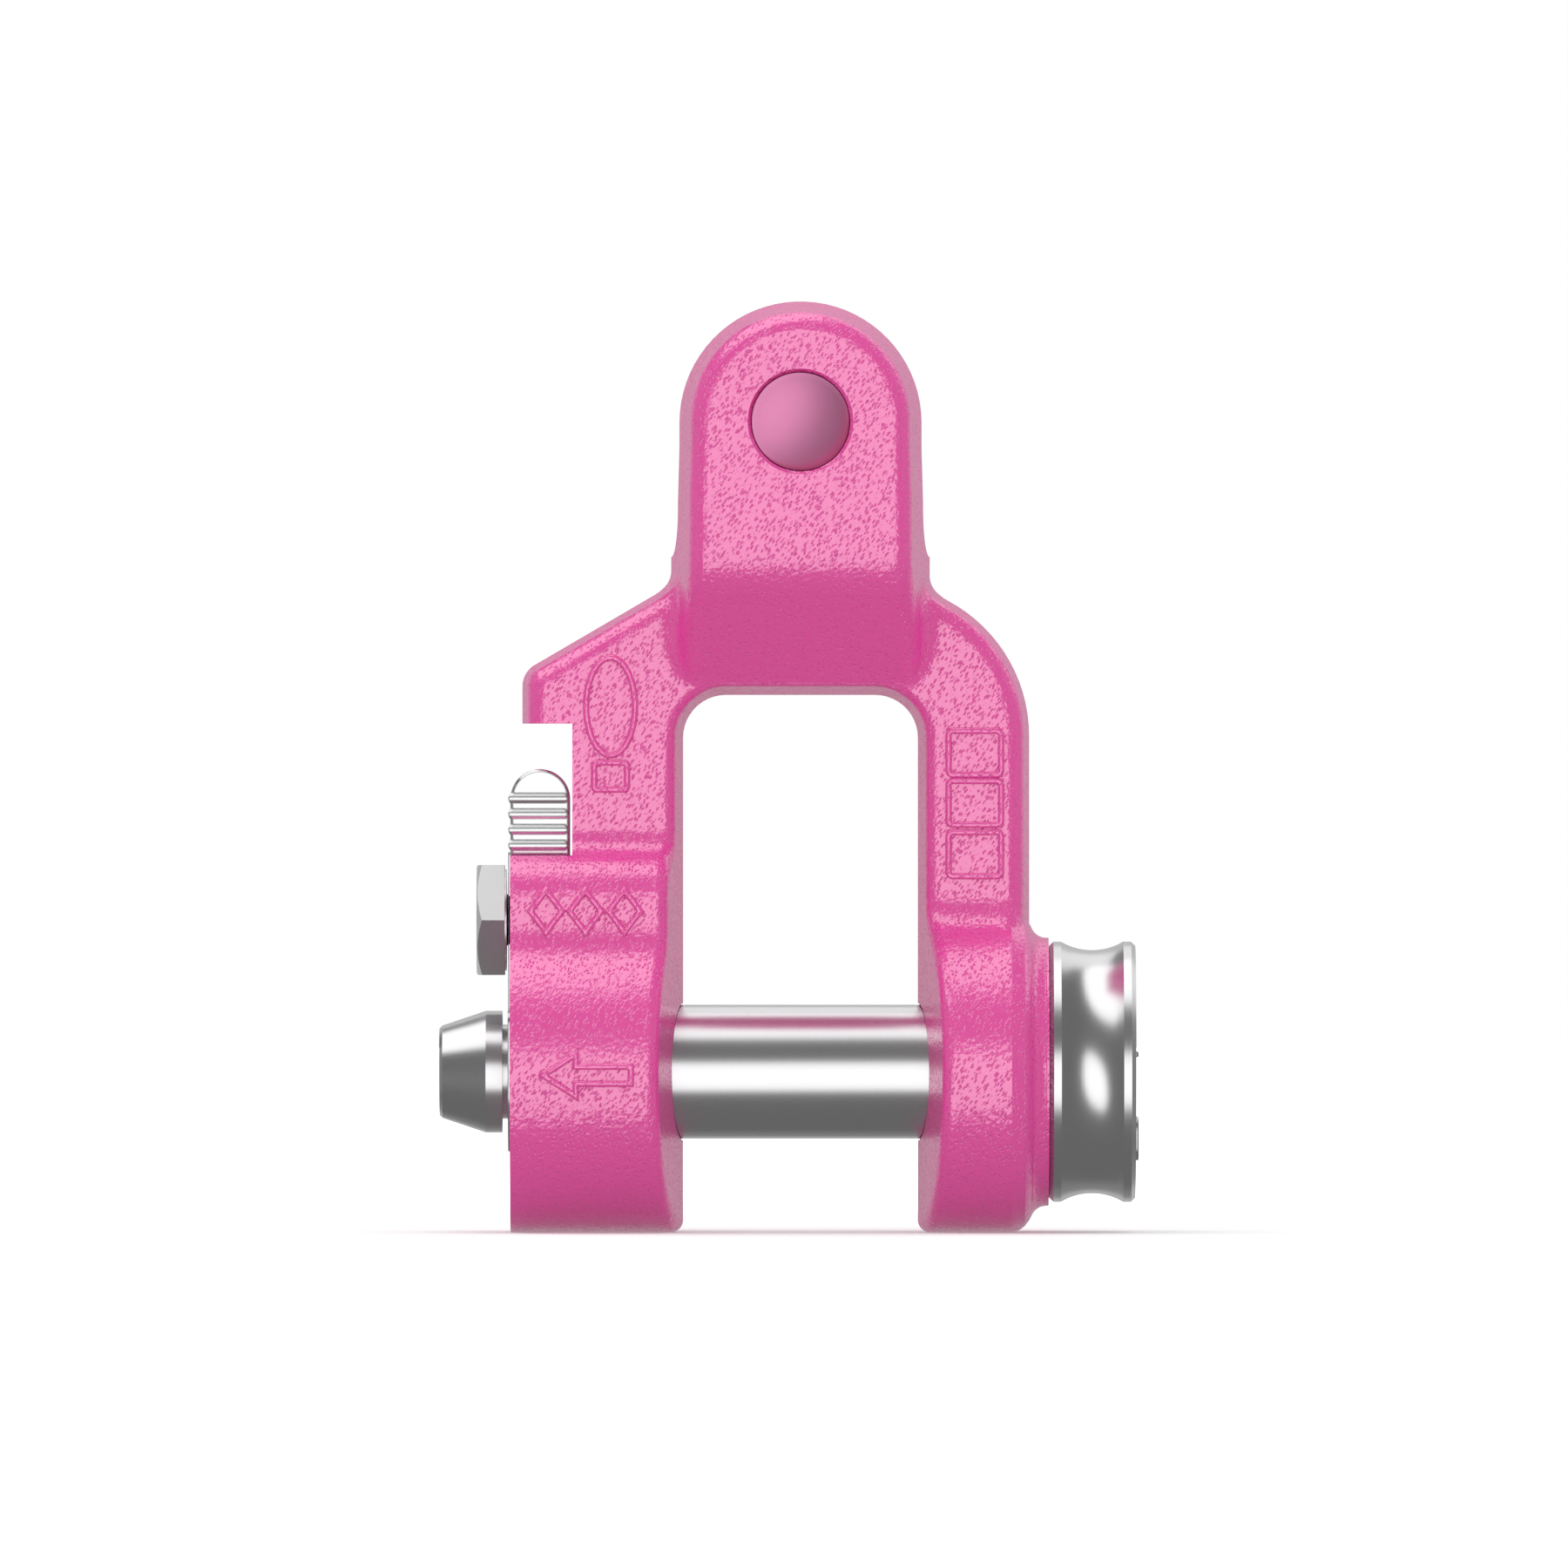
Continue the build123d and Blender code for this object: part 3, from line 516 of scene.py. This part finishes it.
def add_node(tree, kind, settings=None, **links):
    """Node with its settings, and its sockets set to values or linked from (node, output) pairs.

    A socket is given by its name, with an underscore for a space, or as i and its number.
    """
    node = tree.nodes.new(kind)
    for key, value in (settings or {}).items():
        setattr(node, key, value)
    for name, value in links.items():
        numbered = name[0] == "i" and name[1:].isdigit()
        socket = node.inputs[int(name[1:]) if numbered else name.replace("_", " ")]
        if isinstance(value, tuple) and len(value) == 2 and isinstance(value[0], bpy.types.Node):
            tree.links.new(value[0].outputs[value[1]], socket)
        else:
            socket.default_value = value
    return node


def new_material(name, **values):
    """Material whose shader's sockets are set by name. Returns it, its node tree and its shader."""
    material = bpy.data.materials.new(name)
    material.use_nodes = True
    tree = material.node_tree
    shader = tree.nodes["Principled BSDF"]
    for key, value in values.items():
        socket = shader.inputs[key.replace("_", " ")]
        socket.default_value = (*value, 1) if hasattr(value, "__len__") and len(value) == 3 else value
    return material, tree, shader


def powder_coated_forging():
    """Glossy powder coat over a drop-forged skin: the coat levels out and leaves soft pits."""
    finish = bpy.context.scene.shackle_finish
    spacing = finish.pit_spacing
    material, tree, shader = new_material(
        "powder_coated_forging", Base_Color=tuple(finish.coat), Roughness=finish.coat_gloss, IOR=COAT_IOR)
    place = add_node(tree, "ShaderNodeTexCoord")
    # The rows of pits are bent by a noise, so that pits run together here and there.
    bend = add_node(tree, "ShaderNodeTexNoise", Vector=(place, "Object"),
                    Scale=BEND_WAVES / spacing, Detail=2.0)
    shifted = add_node(tree, "ShaderNodeVectorMath", {"operation": "MULTIPLY_ADD"}, i0=(bend, "Color"),
                       i1=(spacing * BEND_REACH,) * 3, i2=(place, "Object"))
    # Pits are longer than wide and lean to the right, as the blast ran over the skin.
    lean = add_node(tree, "ShaderNodeMapping", {"vector_type": "TEXTURE"}, Vector=(shifted, "Vector"),
                    Rotation=(0, radians(PIT_LEAN), 0), Scale=PIT_SHAPE)
    cells = add_node(tree, "ShaderNodeTexVoronoi", {"feature": "F1"}, Vector=(lean, "Vector"),
                     Scale=1 / spacing, Randomness=1.0)
    # Each cell's own colour sets how wide its pit is.
    width = add_node(tree, "ShaderNodeSeparateColor", Color=(cells, "Color"))
    width = add_node(tree, "ShaderNodeMapRange", Value=(width, "Red"),
                     To_Min=PIT_WIDTH[0], To_Max=PIT_WIDTH[1])
    pits = add_node(tree, "ShaderNodeMapRange", {"interpolation_type": "SMOOTHSTEP"},
                    Value=(cells, "Distance"), From_Min=0.0, From_Max=(width, "Result"))
    # The coat itself is a little uneven, as it flows in the oven.
    peel = add_node(tree, "ShaderNodeTexNoise", Vector=(place, "Object"),
                    Scale=PEEL_WAVES / spacing, Detail=1.0)
    skin = add_node(tree, "ShaderNodeMath", {"operation": "MULTIPLY_ADD"}, i0=(peel, "Fac"),
                    i1=PEEL_HEIGHT, i2=(pits, "Result"))
    bump = add_node(tree, "ShaderNodeBump", Height=(skin, "Value"), Distance=finish.pit_depth,
                    Strength=1.0)
    tree.links.new(bump.outputs["Normal"], shader.inputs["Normal"])
    return material


def grained(name, colour, roughness, per_mm, depth, strength, metallic=1.0, detail=3.0, edge=0.0):
    """Material of one colour with a fine grain in its surface.

    The grain is a noise with so many grains to the millimetre along X, Y and Z. Its depth, and the
    radius over which the edges of a tumbled piece are broken, are in millimetres.
    """
    material, tree, shader = new_material(
        name, Base_Color=tuple(colour), Metallic=metallic, Roughness=roughness)
    place = add_node(tree, "ShaderNodeTexCoord")
    stretch = add_node(tree, "ShaderNodeMapping", Vector=(place, "Object"),
                       Scale=[count / MM for count in per_mm])
    grain = add_node(tree, "ShaderNodeTexNoise", Vector=(stretch, "Vector"), Scale=1.0, Detail=detail)
    bump = add_node(tree, "ShaderNodeBump", Height=(grain, "Fac"), Distance=depth * MM, Strength=strength)
    if edge:
        broken = add_node(tree, "ShaderNodeBevel", {"samples": 6}, Radius=edge * MM)
        tree.links.new(broken.outputs["Normal"], bump.inputs["Normal"])
    tree.links.new(bump.outputs["Normal"], shader.inputs["Normal"])
    return material


def finish_node(node, material):
    """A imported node's slots all take one material."""
    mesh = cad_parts[node].data
    if not mesh.materials:
        mesh.materials.append(material)
    for i in range(len(mesh.materials)):
        mesh.materials[i] = material


# Studio

def softbox(name, target, elevation, distance, size, radiance):
    """Rectangular area light in front of or above a point and aimed at it, which no mirror sees."""
    light = bpy.data.lights.new(name, "AREA")
    light.shape = "RECTANGLE"
    light.size, light.size_y = size
    light.energy = radiance * pi * size[0] * size[1]
    lamp = bpy.data.objects.new(name, light)
    away = Vector((0, -cos(radians(elevation)), sin(radians(elevation))))
    lamp.location = Vector(target) + away * distance
    lamp.rotation_euler = away.to_track_quat("Z", "Y").to_euler()
    lamp.visible_camera = lamp.visible_glossy = False
    bpy.context.scene.collection.objects.link(lamp)


def surround(ambient):
    """World that is white where it is seen or mirrored, and lights everything else evenly."""
    world = bpy.data.worlds.new("white_surround")
    world.use_nodes = True
    bpy.context.scene.world = world
    tree = world.node_tree
    path = add_node(tree, "ShaderNodeLightPath")
    seen = add_node(tree, "ShaderNodeMath", {"operation": "MAXIMUM"}, i0=(path, "Is Camera Ray"),
                    i1=(path, "Is Glossy Ray"))
    seen = add_node(tree, "ShaderNodeMath", {"operation": "MAXIMUM"}, i0=(seen, "Value"),
                    i1=(path, "Is Transmission Ray"))
    level = add_node(tree, "ShaderNodeMapRange", Value=(seen, "Value"), To_Min=ambient, To_Max=1.0)
    shader = tree.nodes["Background"]
    shader.inputs["Color"].default_value = (1, 1, 1, 1)
    tree.links.new(level.outputs["Result"], shader.inputs["Strength"])


def stage_material(name):
    """Empty material that is no lamp to the other pieces. Returns it and its node tree."""
    material = bpy.data.materials.new(name)
    material.use_nodes = True
    material.cycles.emission_sampling = "NONE"
    material.node_tree.nodes.clear()
    return material, material.node_tree


def direction(side, turn):
    """Points of the unit sphere at sides and turns given in degrees.

    Sides run from -90 on the left to 90 on the right, and turns about the X axis from 0 in front over
    90 above to 180 behind. X is the sine of the side, and its cosine times minus the cosine and times
    the sine of the turn are Y and Z.
    """
    a, e = np.radians(side), np.radians(turn)
    return np.stack([np.sin(a), -np.cos(a) * np.cos(e), np.cos(a) * np.sin(e)], -1)


def mirror_sheet(name, points, closed, strength):
    """Glowing sheet that only mirrors see, closed along its columns where it is a disc.

    Returns the sheet, its node tree and its emission node.
    """
    material, tree = stage_material(name)
    glow = add_node(tree, "ShaderNodeEmission", Color=(1, 1, 1, 1), Strength=strength)
    add_node(tree, "ShaderNodeOutputMaterial", Surface=(glow, "Emission"))
    mesh = grid_mesh(name, points + MIRRORED_POINT, False, closed)
    sheet = add_piece(name, mesh, material)
    sheet.visible_camera = sheet.visible_diffuse = sheet.visible_shadow = False
    sheet.visible_transmission = False
    return sheet, tree, glow


def oval_panel(name, side, turn, half, lean, studio):
    """Softbox face as a mirror sees it: a leaning oval whose edge fades into the dark cloth.

    A ring is the superellipse of power 2.5: the cosine and sine of its angle to the power of 0.8. Its
    turn also gains the lean times its side. The glow falls from the panel's to the cloth's over the
    outer tenth of the radius.
    """
    steps, rounding, fade = 96, 0.8, 0.1
    share = np.array([0.01, 0.5, 0.8, 0.9, 0.925, 0.95, 0.975, 1.0])[:, None]
    round_it = np.linspace(0, 2 * pi, steps, endpoint=False)[None, :]
    wide, high = np.cos(round_it), np.sin(round_it)
    u = share * np.sign(wide) * np.abs(wide) ** rounding
    v = share * np.sign(high) * np.abs(high) ** rounding
    points = direction(side + half[0] * u, turn + half[1] * v + lean * half[0] * u) * PANEL_RADIUS
    sheet, tree, glow = mirror_sheet(name, points, True, studio.panel)
    bright = sheet.data.attributes.new("bright", "FLOAT", "POINT")
    bright.data.foreach_set("value", np.repeat(np.clip((1 - share[:, 0]) / fade, 0, 1), steps))
    level = add_node(tree, "ShaderNodeAttribute", {"attribute_name": "bright"})
    level = add_node(tree, "ShaderNodeMapRange", Value=(level, "Fac"),
                     To_Min=studio.cloth, To_Max=studio.panel)
    tree.links.new(level.outputs["Result"], glow.inputs["Strength"])
    return sheet


def cloth(name, sides, turns, radius, strength):
    """Part of a sphere round the shackle between two sides and two turns, of an even brightness."""
    side, turn = np.meshgrid(np.linspace(*sides, 40), np.linspace(*turns, 40))
    return mirror_sheet(name, direction(side, turn) * radius, False, strength)[0]


def floor(bounce):
    """Wide floor that reads white from the camera, keeps the shackle's shadow and throws light back up.

    Mirrors look through it to the softbox and the cloth, which reach below it.
    """
    a, z = FLOOR_HALF, FLOOR_Z * MM
    points = np.array([[(-a, -a, z), (a, -a, z)], [(-a, a, z), (a, a, z)]])
    material, tree = stage_material("pale_floor")
    path = add_node(tree, "ShaderNodeLightPath")
    # The paper is paler where it is seen than where it lights the shackle, so that its shadow shows.
    grey = add_node(tree, "ShaderNodeMapRange", Value=(path, "Is Camera Ray"),
                    To_Min=PAPER[0], To_Max=PAPER[1])
    paper = add_node(tree, "ShaderNodeBsdfDiffuse", Color=(grey, "Result"))
    # Its glow is weak round the shackle and makes the rest of the floor white.
    place = add_node(tree, "ShaderNodeTexCoord")
    reach = add_node(tree, "ShaderNodeVectorMath", {"operation": "LENGTH"}, i0=(place, "Object"))
    white = add_node(tree, "ShaderNodeMapRange", {"interpolation_type": "SMOOTHSTEP"},
                     Value=(reach, "Value"), From_Min=FLOOR_GLOW_REACH[0], From_Max=FLOOR_GLOW_REACH[1],
                     To_Min=FLOOR_GLOW[0], To_Max=FLOOR_GLOW[1])
    seen = add_node(tree, "ShaderNodeMath", {"operation": "MULTIPLY"}, i0=(white, "Result"),
                    i1=(path, "Is Camera Ray"))
    lift = add_node(tree, "ShaderNodeMath", {"operation": "MULTIPLY_ADD"}, i0=(path, "Is Diffuse Ray"),
                    i1=bounce, i2=(seen, "Value"))
    glow = add_node(tree, "ShaderNodeEmission", Color=(1, 1, 1, 1), Strength=(lift, "Value"))
    both = add_node(tree, "ShaderNodeAddShader", i0=(paper, "BSDF"), i1=(glow, "Emission"))
    add_node(tree, "ShaderNodeOutputMaterial", Surface=(both, "Shader"))
    ground = add_piece("pale_floor", grid_mesh("pale_floor", points, False, False), material)
    ground.visible_glossy = False


# Operators

class SHACKLE_OT_forging(Operator):
    """Gives the forged bow its powder coat."""

    bl_idname = "shackle.forging"
    bl_label = "Finish the forging"

    def execute(self, context):
        finish_node("bow", powder_coated_forging())
        return {"FINISHED"}


class SHACKLE_OT_boss_root(Operator):
    """Fills the hollow root between the right eye and its boss with coated metal."""

    bl_idname = "shackle.boss_root"
    bl_label = "Round the root of the boss"

    def execute(self, context):
        points = (revolved(boss_root_profile(), 0, 160) + (0, 0, BOLT_Z)) * MM
        mesh = outward(grid_mesh("boss_root", points))
        coat = bpy.data.materials["powder_coated_forging"]
        add_piece("boss_root", mesh, coat, "bow")
        return {"FINISHED"}


class SHACKLE_OT_steel(Operator):
    """Gives the bolt, slide, screw, sleeve and bush their finishes."""

    bl_idname = "shackle.steel"
    bl_label = "Finish the steel pieces"

    def execute(self, context):
        finish = context.scene.shackle_finish
        # Turning leaves rings round the bolt, drawn coarse enough to show, which draw out its highlights.
        finish_node("shackle_bolt", grained(
            "turned_plated_steel", finish.steel, 0.26, (2.6, 0.03, 0.03), 0.02, 0.3))
        # Tumbling leaves the slide bright and even, with soft edges.
        finish_node("lock_slide", grained(
            "tumbled_plated_steel", finish.steel, 0.15, (0.7, 0.7, 0.7), 0.02, 0.1, edge=0.5))
        # A cold-headed screw is dull under its zinc.
        finish_node("guide_screw", grained(
            "cold_headed_zinc", finish.steel, 0.3, (0.9, 0.9, 0.9), 0.02, 0.2))
        # Rolled strip that was hardened is darker than the plated pieces.
        finish_node("pin_sleeve", grained(
            "rolled_spring_steel", linear("#8E8F92"), 0.35, (0.9, 0.9, 0.9), 0.02, 0.4))
        # The bush is black and matt, with the fine grain of the mould; its black is also painted shade,
        # the deep shade in the gap between the screw's head and the slide.
        finish_node("guide_bush", grained(
            "moulded_nylon", finish.plastic, 0.45, (2.5, 2.5, 2.5), 0.03, 0.5, metallic=0.0, detail=2.0))
        return {"FINISHED"}


class SHACKLE_OT_chain_pin(Operator):
    """Turns the chain pin with domed ends, the groove of its sleeve and its land."""

    bl_idname = "shackle.chain_pin"
    bl_label = "Turn the chain pin"

    def execute(self, context):
        sizes = context.scene.shackle_sizes
        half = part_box("chain_pin")[1].y
        profile = chain_pin_profile(half, sizes.pin_radius, sizes.pin_dome)
        mesh = grid_mesh("turned_chain_pin", revolved(profile, 1, 96), loop_rows=False)
        weld(mesh)
        outward(mesh)
        lean_ends(mesh, half - sizes.pin_dome - PIN_LEAN_DEPTH * MM, sizes.pin_lean)
        # Thin satin paint over ground steel is tinted like the coat, but smoother and more metallic.
        steel = grained("painted_ground_steel", context.scene.shackle_finish.pin, 0.38, (1.8, 1.8, 1.8),
                        0.01, 0.3, metallic=0.8, detail=2.0)
        pin = add_piece("turned_chain_pin", mesh, steel, "chain_pin")
        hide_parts("chain_pin")
        return {"FINISHED"}


class SHACKLE_OT_return_spring(Operator):
    """Winds the return spring between the bush's core and the slide."""

    bl_idname = "shackle.return_spring"
    bl_label = "Wind the return spring"

    def execute(self, context):
        sizes = context.scene.shackle_sizes
        low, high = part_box("return_spring")
        radius = (high.y - low.y - sizes.wire) / 2
        centre = ((low.x + high.x) / 2, (low.y + high.y) / 2)
        points = helix_tube(low.z, high.z, radius, sizes.wire, sizes.turns, centre)
        mesh = grid_mesh("coiled_return_spring", points, loop_rows=False)
        close_ends(mesh, points.shape[1])
        # Drawn wire is smooth and a dull grey.
        steel = grained("drawn_spring_wire", linear("#8D8E90"), 0.3, (0.5, 0.5, 0.5), 0.02, 0.2)
        spring = add_piece("coiled_return_spring", outward(mesh), steel)
        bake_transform(spring)
        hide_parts("return_spring")
        return {"FINISHED"}


class SHACKLE_OT_marks(Operator):
    """Raises the plain marks on the front of the forging and the pads on the knob's end."""

    bl_idname = "shackle.marks"
    bl_label = "Raise the marks"

    def execute(self, context):
        sizes = context.scene.shackle_sizes
        paths = {"arrow_mark": (along(ARROW, ARROW_STEP), left_depth)}
        for i, x in enumerate(LOZENGE_X):
            lozenge = along(LOZENGE + (x, LOZENGE_Z), LOZENGE_STEP)
            paths[f"lozenge_mark_{i + 1}"] = (lozenge, left_depth)
        for i, z in enumerate(PANEL_Z):
            paths[f"panel_mark_{i + 1}"] = (rounded_box(PANEL_X, z, *PANEL_SIZE), arm_depth)
        paths["oval_mark"] = (oval(*OVAL), arm_depth)
        paths["tag_mark"] = (rounded_box(*TAG), arm_depth)
        coat = bpy.data.materials["powder_coated_forging"]
        for name, (path, depth) in paths.items():
            points = raised_stroke(path, depth, sizes.stroke / MM, sizes.relief / MM) * MM
            add_piece(name, outward(grid_mesh(name, points)), coat, "bow")
        steel = bpy.data.materials["turned_plated_steel"]
        for name, place in KNOB_PADS.items():
            mesh = grid_mesh(name, raised_pad(KNOB_END, *place, PAD_RELIEF) * MM, loop_rows=False)
            weld(mesh)
            add_piece(name, outward(mesh), steel, "shackle_bolt")
        return {"FINISHED"}


class SHACKLE_OT_stage(Operator):
    """Sets up the floor, the softboxes, the dark cloth, the white surround and the camera."""

    bl_idname = "shackle.stage"
    bl_label = "Set up the studio"

    def execute(self, context):
        studio = context.scene.shackle_studio
        context.scene.view_settings.view_transform = "Standard"
        for name, place in SOFTBOXES.items():
            softbox(f"{name}_softbox", *place, getattr(studio, name))
        surround(studio.ambient)
        panels = [oval_panel(name, *place, studio) for name, place in MIRRORED_PANELS.items()]
        cloths = [cloth(name, sides, turns, radius, getattr(studio, grey))
                  for name, (sides, turns, radius, grey) in MIRRORED_CLOTHS.items()]
        floor(studio.bounce)
        data = bpy.data.cameras.new("camera")
        data.lens = studio.lens
        data.sensor_width = SENSOR
        data.clip_end = FAR
        camera = bpy.data.objects.new("camera", data)
        distance = studio.field * studio.lens / data.sensor_width
        camera.location = (VIEW_X, -distance, VIEW_Z)
        camera.rotation_euler = (pi / 2, 0, 0)
        context.scene.collection.objects.link(camera)
        context.scene.camera = camera
        return {"FINISHED"}


class SHACKLE_PT_panel(Panel):
    """Lists the sizes and colours, and the steps."""

    bl_idname = "SHACKLE_PT_panel"
    bl_label = "Shackle"
    bl_space_type = "VIEW_3D"
    bl_region_type = "UI"
    bl_category = "Shackle"

    def draw(self, context):
        for group in GROUPS:
            values = getattr(context.scene, group)
            for name in values.bl_rna.properties.keys():
                if name not in ("rna_type", "name"):
                    self.layout.prop(values, name)
        for step in STEPS:
            self.layout.operator(step.bl_idname)


GROUPS = {
    "shackle_finish": ShackleFinish,
    "shackle_sizes": ShackleSizes,
    "shackle_studio": ShackleStudio,
}
STEPS = (
    SHACKLE_OT_forging,
    SHACKLE_OT_boss_root,
    SHACKLE_OT_steel,
    SHACKLE_OT_chain_pin,
    SHACKLE_OT_return_spring,
    SHACKLE_OT_marks,
    SHACKLE_OT_stage,
)
CLASSES = (*GROUPS.values(), *STEPS, SHACKLE_PT_panel)


def register():
    for cls in CLASSES:
        bpy.utils.register_class(cls)
    for name, cls in GROUPS.items():
        setattr(bpy.types.Scene, name, PointerProperty(type=cls))


def unregister():
    for name in GROUPS:
        delattr(bpy.types.Scene, name)
    for cls in reversed(CLASSES):
        bpy.utils.unregister_class(cls)


def main():
    """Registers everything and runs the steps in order."""
    register()
    bpy.ops.shackle.forging()
    bpy.ops.shackle.boss_root()
    bpy.ops.shackle.steel()
    bpy.ops.shackle.chain_pin()
    bpy.ops.shackle.return_spring()
    bpy.ops.shackle.marks()
    bpy.ops.shackle.stage()


if __name__ == "__main__":
    main()
